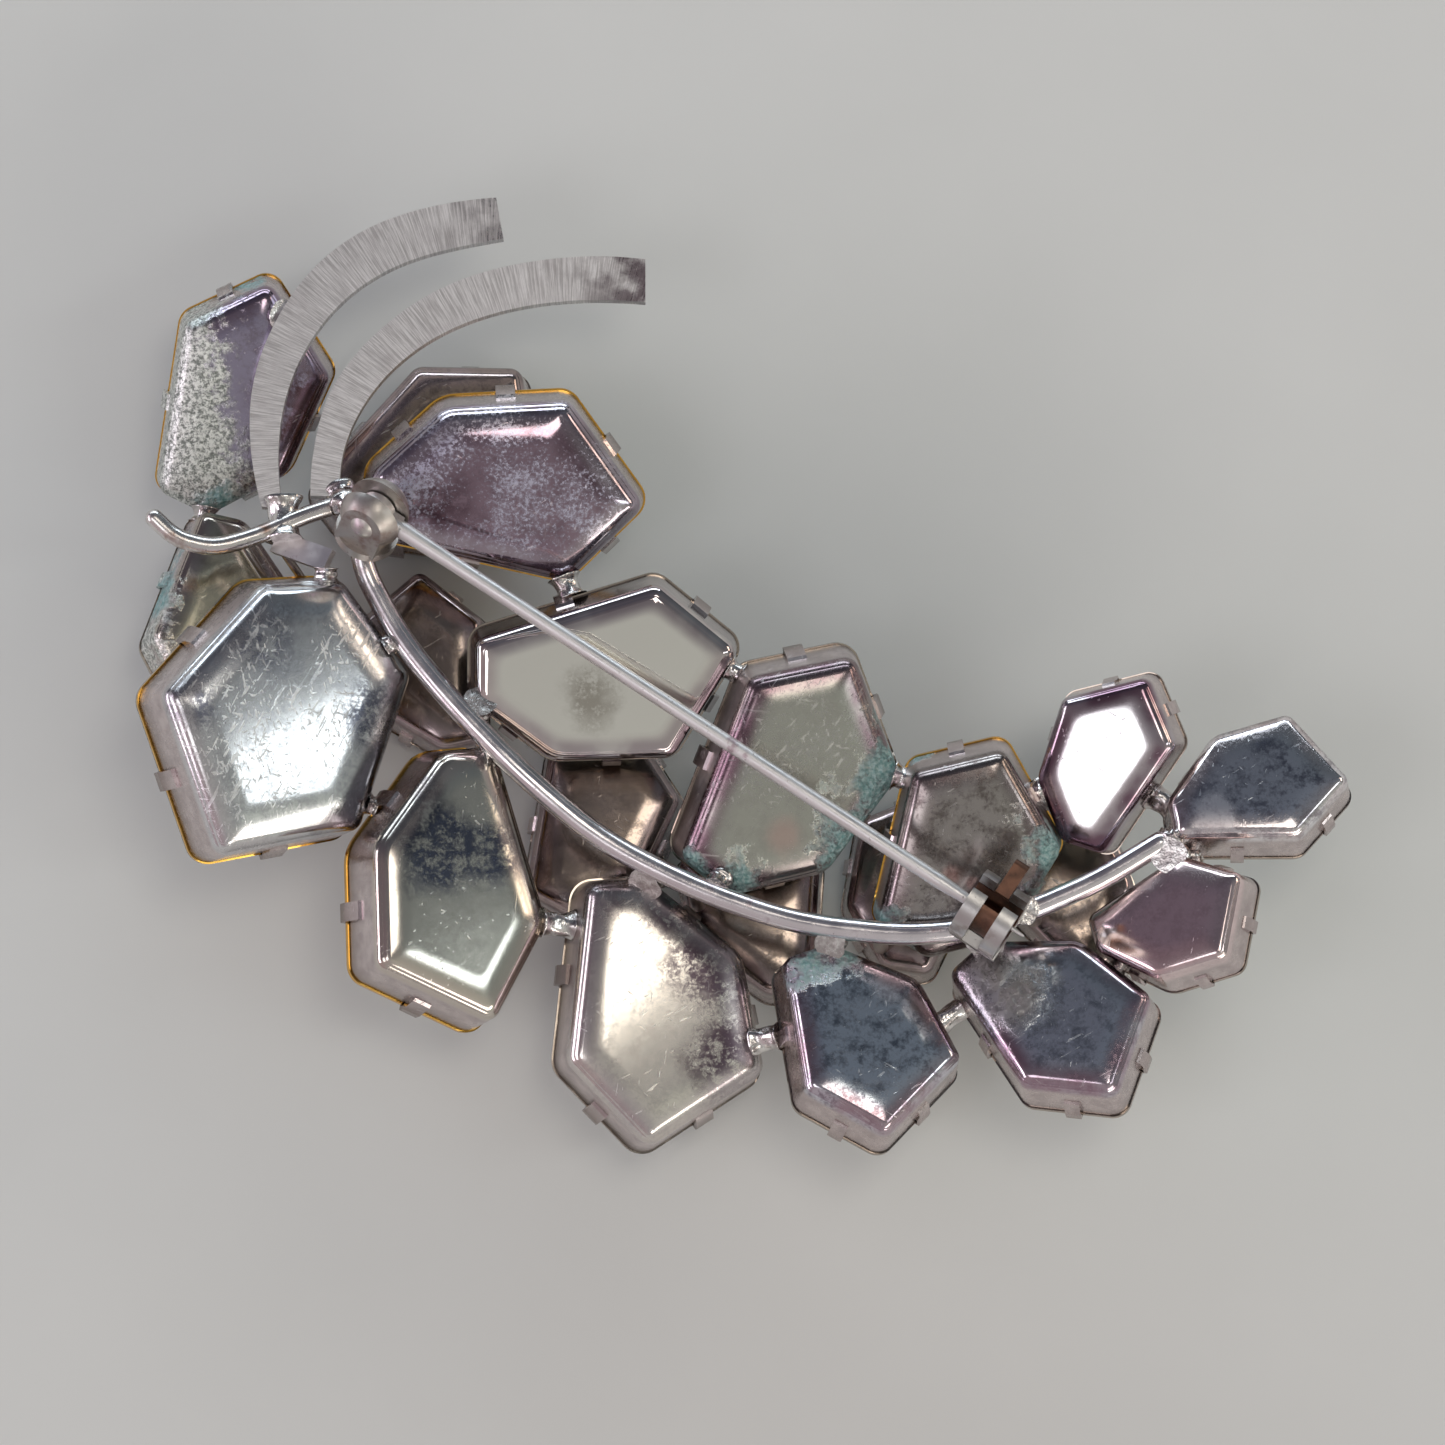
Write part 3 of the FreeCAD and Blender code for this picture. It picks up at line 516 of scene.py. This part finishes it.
        raised = leaf.maths("MULTIPLY", pits, crust)
        relief = leaf.maths("ADD", relief, leaf.scaled(raised, PIT_RELIEF))
        metal = leaf.band(crust, 0.2, 0.7, 1.0, 0.15)
    normal = leaf.bump(relief, 1.0, 1.0)
    material = leaf.finish(colour, roughness, normal)
    if metal:
        leaf.link(metal, leaf.shader.inputs["Metallic"])
    give(name, material)


# Box fractions: x from the left, y from the bottom, then the patch's radius in metres.
# Each leaf's tone, dark colour and dark patches are partly tarnished colour and partly painted
# reflection, so plates are lighter, darker, bluer or pinker one by one.
def dress_leaves():
    plate("back_setting_01", tone=(0.72, 0.74, 0.76), dark=SLATE, dark_amount=0.35, haze_amount=0.2,
          rough=0.15, scratch_angle=60.0, scratch_level=0.61, dome=14.0, roll=0.0022,
          dark_at=[(0.44, 0.72, 0.0026), (0.88, 0.50, 0.0024), (0.20, 0.50, 0.002)],
          edge=(0.66, 0.62, 0.62))
    plate("back_setting_02", tone=(0.60, 0.60, 0.54), dark=(0.06, 0.07, 0.10), dark_amount=0.05,
          haze_amount=0.15, dark_at=[(0.50, 0.60, 0.0030), (0.72, 0.60, 0.0024), (0.42, 0.82, 0.0012)],
          rough=0.14, dome=5.0, edge=(0.70, 0.58, 0.52))
    plate("back_setting_03", tone=(0.84, 0.79, 0.72), dark_amount=0.25, haze_amount=0.15, dome=14.0,
          dark=(0.10, 0.07, 0.09), rough=0.19, edge=(0.55, 0.50, 0.52),
          dark_at=[(0.78, 0.62, 0.0032), (0.55, 0.90, 0.0026), (0.82, 0.32, 0.0030),
                   (0.25, 0.9, 0.0016)])
    plate("back_setting_04", tone=(0.34, 0.24, 0.30), dark=(0.12, 0.07, 0.09), dark_amount=0.4,
          haze_amount=0.95, haze_tone=(0.74, 0.74, 0.92), haze_cover=0.75, rough=0.08, roll=0.0020,
          edge=(0.62, 0.58, 0.62), dark_at=[(0.20, 0.35, 0.0026), (0.85, 0.55, 0.0022)])
    plate("back_setting_05", tone=(0.95, 0.93, 0.86), dark_amount=0.0, haze_amount=0.0, rough=0.04,
          scratch_level=0.80, dome=1.0, roll=0.0009, wavy=0.000004, edge=(0.42, 0.34, 0.37),
          edge_amount=0.8, dark=(0.52, 0.49, 0.43), dark_at=[(0.45, 0.30, 0.0016)])
    plate("back_setting_06", tone=(0.48, 0.48, 0.43), dark_amount=0.12, haze_amount=0.4, rough=0.22,
          scratch_angle=55.0, scratch_level=0.64, edge=(0.20, 0.12, 0.15), edge_amount=0.95,
          pink_at=[(0.50, 0.22, 0.0008, 0.9)], dome=6.0,
          crust_at=[(0.98, 0.44, 0.0022), (0.84, 0.22, 0.0015), (0.3, 0.04, 0.0010),
                    (0.10, 0.10, 0.0010)])
    plate("back_setting_07", tone=(0.84, 0.92, 1.0), dark=(0.10, 0.13, 0.18), dark_amount=0.9,
          haze_amount=0.35, rough=0.12, crust_at=[(0.2, 0.93, 0.0012), (0.40, 0.97, 0.0010)],
          edge=(0.46, 0.32, 0.36), edge_amount=0.85, haze_at=[(0.62, 0.78, 0.0010)])
    plate("back_setting_08", tone=(0.88, 0.94, 1.0), dark=(0.12, 0.15, 0.20), dark_amount=0.75,
          haze_amount=0.3, rough=0.12, solder_at=[(0.30, 0.66, 0.0018), (0.18, 0.8, 0.0016)],
          edge=(0.40, 0.26, 0.32), edge_amount=0.9)
    plate("back_setting_09", tone=(0.40, 0.37, 0.35), dark=(0.09, 0.07, 0.06), dark_amount=0.75,
          haze_amount=0.25, rough=0.18, edge=(0.16, 0.11, 0.12),
          pink_at=[(0.40, 0.36, 0.0005, 0.5), (0.52, 0.32, 0.0004, 0.5)],
          crust_at=[(0.94, 0.46, 0.0019), (0.90, 0.22, 0.0018), (0.66, 0.08, 0.0014),
                    (0.03, 0.14, 0.0015), (0.20, 0.94, 0.0009)])
    plate("back_setting_10", tone=(0.86, 0.85, 0.86), dark_amount=0.1, haze_amount=0.2, rough=0.13,
          dome=12.0, roll=0.0012, edge=(0.22, 0.12, 0.17), edge_amount=0.95)
    plate("back_setting_11", tone=(0.92, 0.95, 1.0), dark=(0.11, 0.12, 0.18), dark_amount=0.85,
          haze_amount=0.35, rough=0.10, haze_at=[(0.25, 0.30, 0.0014)], edge=(0.72, 0.58, 0.56),
          dome=10.0)
    plate("back_setting_12", tone=(1.0, 0.80, 0.80), dark=(0.34, 0.22, 0.24), dark_amount=0.3,
          haze_amount=0.1, rough=0.13, haze_at=[(0.32, 0.85, 0.0009)], edge=(0.60, 0.52, 0.52))
    plate("back_setting_13", tone=(0.40, 0.36, 0.48), dark=(0.10, 0.05, 0.06), dark_amount=0.4,
          haze_amount=0.2, rough=0.12, grains_at=[(192.0, 0.10, 0.0014, 0.0022)],
          dark_at=[(0.85, 0.35, 0.0032)], edge=(0.30, 0.20, 0.22),
          crust_at=[(0.38, 0.02, 0.0014), (0.55, 0.97, 0.0012)])
    plate("back_setting_14", tone=(0.56, 0.53, 0.41), dark=(0.16, 0.13, 0.10), dark_amount=0.6,
          haze_amount=0.3, rough=0.14, grains_at=[(180.0, 0.66, 0.0010, 0.0016)],
          crust_at=[(0.06, 0.62, 0.0012), (0.10, 0.85, 0.0014)])
    for number in range(1, 7):
        plate(f"front_setting_{number}", tone=(0.32, 0.26, 0.22), dark=(0.09, 0.07, 0.06),
              dark_amount=0.7, haze_amount=0.2, rough=0.13)


def wire(name, tone=SILVER, worn=PLUM_SILVER, amount=0.3, rough=0.18, relief=0.15):
    """Bright round wire with soft wear, fine drawn lines and speckles."""
    graph = Graph(name + "_plating")
    low = Vector(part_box(name)[0])
    moved = graph.stretched((1.0, 1.0, 1.0), 0.0, tuple(value * WIRE_SHIFT for value in low))
    cloud = graph.noise(520.0, 5.0, 0.6, moved)
    fine = graph.noise(3000.0, 3.0, 0.6, moved)
    wear = graph.band(cloud, 0.62 - amount * 0.2, 0.72)
    colour = graph.blend(wear, tone, worn)
    specks = graph.band(fine, 0.66, 0.72)
    colour = graph.blend(graph.maths("MULTIPLY", specks, 0.5), colour, BROWN)
    roughness = graph.maths("ADD", graph.band(cloud, 0.3, 0.7, rough, rough + 0.14),
                            graph.maths("MULTIPLY", specks, 0.2))
    normal = graph.bump(fine, relief, 0.00004)
    give(name, graph.finish(colour, roughness, normal))


def brushed(name, centre, dark_end, dark_amount, dark_from):
    """Satin strip with short brush strokes across it, that lie along the radii of its bend."""
    graph = Graph(name + "_satin")
    away = graph.node("ShaderNodeVectorMath", operation="SUBTRACT")
    graph.link(graph.place, away.inputs[0])
    away.inputs[1].default_value = centre
    split = graph.node("ShaderNodeSeparateXYZ")
    graph.link(away.outputs[0], split.inputs[0])
    angle = graph.maths("ARCTAN2", split.outputs["Y"], split.outputs["X"])
    length = graph.node("ShaderNodeVectorMath", operation="LENGTH")
    graph.link(away.outputs[0], length.inputs[0])
    joined = graph.node("ShaderNodeCombineXYZ")
    graph.link(graph.maths("MULTIPLY", angle, 2.6), joined.inputs["X"])
    graph.link(graph.maths("MULTIPLY", length.outputs["Value"], 7.0), joined.inputs["Y"])
    strokes = graph.noise(60.0, 4.0, 0.75, joined.outputs[0])
    cloud = graph.noise(420.0, 5.0, 0.6)
    tone = graph.blend(graph.band(strokes, 0.35, 0.65), (0.58, 0.56, 0.56), (0.94, 0.92, 0.92))
    dull = graph.maths("MULTIPLY", graph.band(cloud, 0.52, 0.72), 0.25)
    tone = graph.blend(dull, tone, (0.46, 0.41, 0.42))
    end = graph.band(graph.along(dark_end[0], dark_end[1]), dark_from, 1.0)
    end = graph.maths("MULTIPLY", end, graph.band(cloud, 0.38, 0.58))
    tone = graph.blend(graph.maths("MULTIPLY", end, dark_amount), tone, (0.12, 0.08, 0.10))
    rough = graph.maths("ADD", graph.band(strokes, 0.3, 0.7, 0.36, 0.50),
                        graph.maths("MULTIPLY", end, -0.14))
    normal = graph.bump(strokes, 0.12, 0.00008)
    give(name, graph.finish(tone, rough, normal))


GOLD_EDGED = ("01", "02", "04", "09", "13")
FULL_STONE_DIAGONAL = 0.0245  # of its box
FOIL_FROM = 0.00100      # height over the table where foil begins, on a full-size stone
FOIL_FULL = 0.00108


def stone(name):
    """Pale glass crown over foil, which covers the stone's edge and everything behind it."""
    graph = Graph(name + "_glass")
    normal, point = largest_plane(name, -1)
    height = graph.reach(-normal, point)
    size = (Vector(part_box(name)[1]) - Vector(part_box(name)[0])).length / FULL_STONE_DIAGONAL
    foil = graph.band(height, FOIL_FROM * size, FOIL_FULL * size)
    cloud = graph.noise(900.0, 4.0, 0.6)
    if name[-2:] in GOLD_EDGED:
        gold = graph.blend(cloud, (0.55, 0.27, 0.04), (0.95, 0.58, 0.13))
    else:
        gold = graph.blend(cloud, (0.26, 0.21, 0.17), (0.56, 0.50, 0.44))
    clear = graph.blend(graph.noise(120.0), (0.62, 0.74, 0.76), (0.78, 0.84, 0.84))
    graph.finish(graph.blend(foil, clear, gold), graph.band(cloud, 0.3, 0.7, 0.03, 0.10))
    graph.link(foil, graph.shader.inputs["Metallic"])
    graph.link(graph.band(foil, 0.0, 1.0, 0.8, 0.0), graph.shader.inputs["Transmission Weight"])
    graph.shader.inputs["IOR"].default_value = 1.55
    give(name, graph.material)


# ---- solder ----
SOLDER_ROUNDS = 28
SOLDER_RINGS = 12
SOLDER_WAIST = 1.05      # radius at the middle of a joint, against the plug's
SOLDER_FLARE = 0.45      # how much wider it grows where it wets a piece
SOLDER_LUMPS = 0.16
WELD = 1e-7


def loose_parts(name):
    """Each separate solid in a node: its vertex positions, and the directions of its edges."""
    work = bmesh.new()
    work.from_mesh(nodes[name].data)
    bmesh.ops.remove_doubles(work, verts=work.verts, dist=WELD)
    seen = set()
    parts = []
    for start in work.verts:
        if start in seen:
            continue
        seen.add(start)
        stack = [start]
        points = []
        ways = []
        while stack:
            vertex = stack.pop()
            points.append(vertex.co.copy())
            for edge in vertex.link_edges:
                other = edge.other_vert(vertex)
                ways.append((other.co - vertex.co).normalized())
                if other not in seen:
                    seen.add(other)
                    stack.append(other)
        parts.append((points, ways))
    work.free()
    return sorted(parts, key=lambda part: tuple(round(value, 6) for value in sum(part[0], Vector())))


def plug_axis(points, ways):
    """Middle, direction, half length and radius of a round plug, all estimates.

    The direction is the edge about which the vertices spread least. The cups trim the plugs, so it
    can lie some way off the plug's own axis.
    """
    middle = sum(points, Vector()) / len(points)
    best = None
    for way in ways:
        away = [((point - middle) - way * (point - middle).dot(way)).length for point in points]
        spread = max(away) - min(away)
        if best is None or spread < best[0]:
            best = (spread, way, max(away))
    spread, way, radius = best
    reach = [(point - middle).dot(way) for point in points]
    return middle + way * (max(reach) + min(reach)) / 2.0, way, (max(reach) - min(reach)) / 2.0, radius


def solder_joint(mesh, middle, way, half, radius, seed):
    """Lumpy spool of solder round one plug, closed at both ends."""
    side = way.orthogonal().normalized()
    other = way.cross(side)
    rings = []
    for i in range(SOLDER_RINGS + 1):
        t = 2.0 * i / SOLDER_RINGS - 1.0
        ring = []
        for k in range(SOLDER_ROUNDS):
            angle = 2.0 * math.pi * k / SOLDER_ROUNDS
            out = side * math.cos(angle) + other * math.sin(angle)
            lump = noise.noise(out * 1.3 + way * t + Vector((seed * 3.7, 0.0, 0.0)))
            size = radius * (SOLDER_WAIST + SOLDER_FLARE * abs(t) ** 3 + SOLDER_LUMPS * 2.0 * lump)
            ring.append(mesh.verts.new(middle + way * half * t + out * size))
        rings.append(ring)
    for i in range(SOLDER_RINGS):
        for k in range(SOLDER_ROUNDS):
            n = (k + 1) % SOLDER_ROUNDS
            mesh.faces.new((rings[i][k], rings[i][n], rings[i + 1][n], rings[i + 1][k]))
    mesh.faces.new(rings[0][::-1])
    mesh.faces.new(rings[-1])


def add_solder():
    """Solder that wets each pair of pieces it joins, in place of the plain plugs."""
    mesh = bmesh.new()
    for seed, (points, ways) in enumerate(loose_parts("solder_beads")):
        solder_joint(mesh, *plug_axis(points, ways), seed)
    bmesh.ops.recalc_face_normals(mesh, faces=mesh.faces)
    for face in mesh.faces:
        face.smooth = len(face.verts) == 4
    data = bpy.data.meshes.new("solder_joints")
    mesh.to_mesh(data)
    mesh.free()
    joints = bpy.data.objects.new("solder_joints", data)
    bpy.context.scene.collection.objects.link(joints)
    graph = Graph("solder_joints_metal")
    lumps = graph.noise(1500.0, 4.0, 0.6)
    fine = graph.noise(6000.0, 3.0, 0.6)
    tone = graph.blend(graph.band(lumps, 0.35, 0.65), (0.50, 0.46, 0.45), (0.88, 0.86, 0.84))
    tone = graph.blend(graph.band(fine, 0.62, 0.72), tone, (0.30, 0.26, 0.26))
    normal = graph.bump(lumps, 0.3, 0.0002)
    data.materials.append(graph.finish(tone, graph.band(fine, 0.3, 0.7, 0.14, 0.28), normal))
    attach(joints, "frame")
    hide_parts("solder_beads")


# Middles of the two tendrils' bends.
OUTER_BEND = (-0.0165, 0.0154, 0.0)
INNER_BEND = (-0.0113, 0.0102, 0.0)


def dress_fittings():
    wire("stem_wire", tone=(0.84, 0.80, 0.82), amount=0.2, rough=0.14, relief=0.05)
    wire("pin_stem", tone=(0.80, 0.78, 0.78), amount=0.1, rough=0.36)
    wire("joint_cheeks", tone=(0.50, 0.46, 0.43), worn=(0.26, 0.17, 0.15), amount=0.8, rough=0.34)
    wire("joint_rivet", tone=(0.58, 0.55, 0.52), rough=0.30)
    wire("catch_housing", tone=(0.55, 0.54, 0.53), worn=(0.28, 0.22, 0.19), amount=0.8, rough=0.28)
    wire("catch_rotor", tone=(0.19, 0.10, 0.07), worn=(0.07, 0.05, 0.04), amount=0.9, rough=0.34)
    wire("curl_wire", tone=(0.72, 0.69, 0.67), worn=(0.30, 0.17, 0.12), amount=0.5)
    wire("strut", tone=(0.86, 0.85, 0.84), rough=0.28, amount=0.0)
    wire("braces", tone=(0.62, 0.58, 0.55))
    wire("front_posts", tone=(0.42, 0.36, 0.32), rough=0.3)
    low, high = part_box("tendril_outer")
    brushed("tendril_outer", OUTER_BEND, ((low[0], 0.0, 0.0), (high[0], 0.0, 0.0)), 0.3, 0.66)
    low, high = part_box("tendril_inner")
    brushed("tendril_inner", INNER_BEND, ((low[0], 0.0, 0.0), (high[0], 0.0, 0.0)), 0.85, 0.68)
    for name in nodes:
        if "stone" in name:
            stone(name)


add_camera()
add_studio()
add_floor()
dress_leaves()
dress_fittings()
add_solder()
